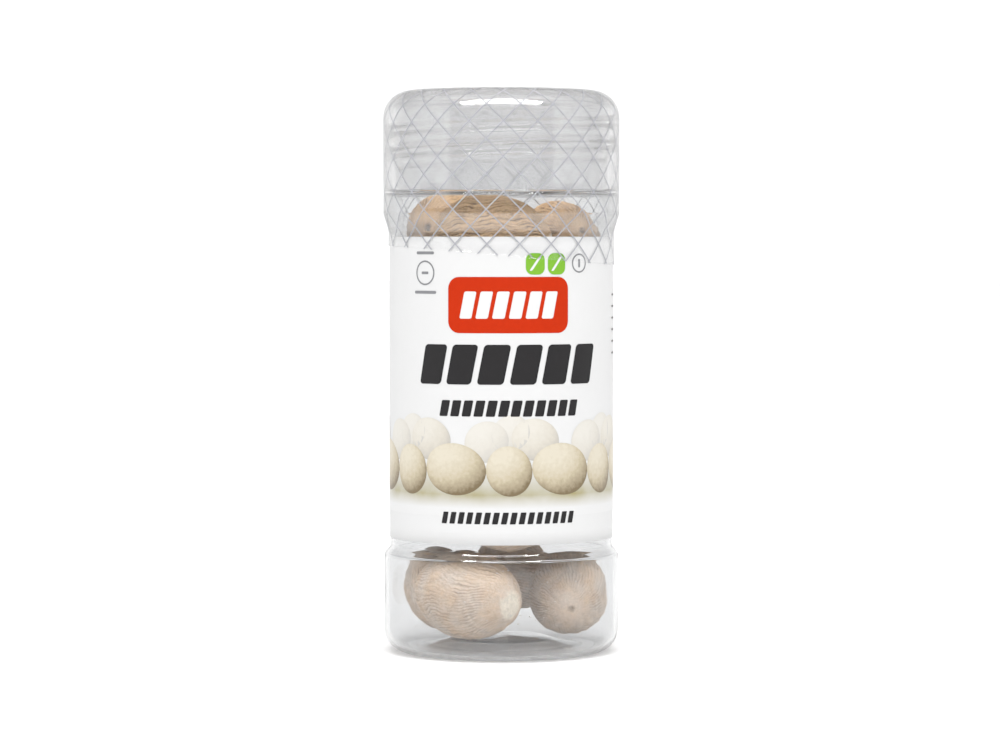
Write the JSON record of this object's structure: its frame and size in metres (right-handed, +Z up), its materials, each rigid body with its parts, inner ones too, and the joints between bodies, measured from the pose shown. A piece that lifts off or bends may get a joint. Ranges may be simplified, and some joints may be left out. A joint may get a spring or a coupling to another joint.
{
  "type": "clear spice jar of whole nutmegs",
  "caption": "Small clear round jar with a clear screw cap, a wrap-round paper label, a lattice shrink band and whole nutmegs stacked inside.",
  "frame": {"origin": "middle of the base, on the surface that the jar stands on", "axes": "+Z up along the jar's axis, -Y towards the label's front, +X to the right seen from the front"},
  "size_m": [0.0452, 0.0452, 0.1067],
  "materials": {
    "clear_plastic": "gloss",
    "cap_plastic": "gloss",
    "label_paper": "satin",
    "band_film": "gloss",
    "nutmeg_shell": "matte"
  },
  "bodies": {
    "root": {"jar": "clear_plastic", "cap": "cap_plastic", "label": "label_paper", "shrink_band": "band_film", "nutmeg_01": "nutmeg_shell", "nutmeg_02": "nutmeg_shell", "nutmeg_03": "nutmeg_shell", "nutmeg_04": "nutmeg_shell", "nutmeg_05": "nutmeg_shell", "nutmeg_06": "nutmeg_shell", "nutmeg_07": "nutmeg_shell", "nutmeg_08": "nutmeg_shell", "nutmeg_09": "nutmeg_shell", "nutmeg_10": "nutmeg_shell", "nutmeg_11": "nutmeg_shell", "nutmeg_12": "nutmeg_shell", "nutmeg_13": "nutmeg_shell", "nutmeg_14": "nutmeg_shell", "nutmeg_15": "nutmeg_shell", "nutmeg_16": "nutmeg_shell"}
  },
  "joints": []
}
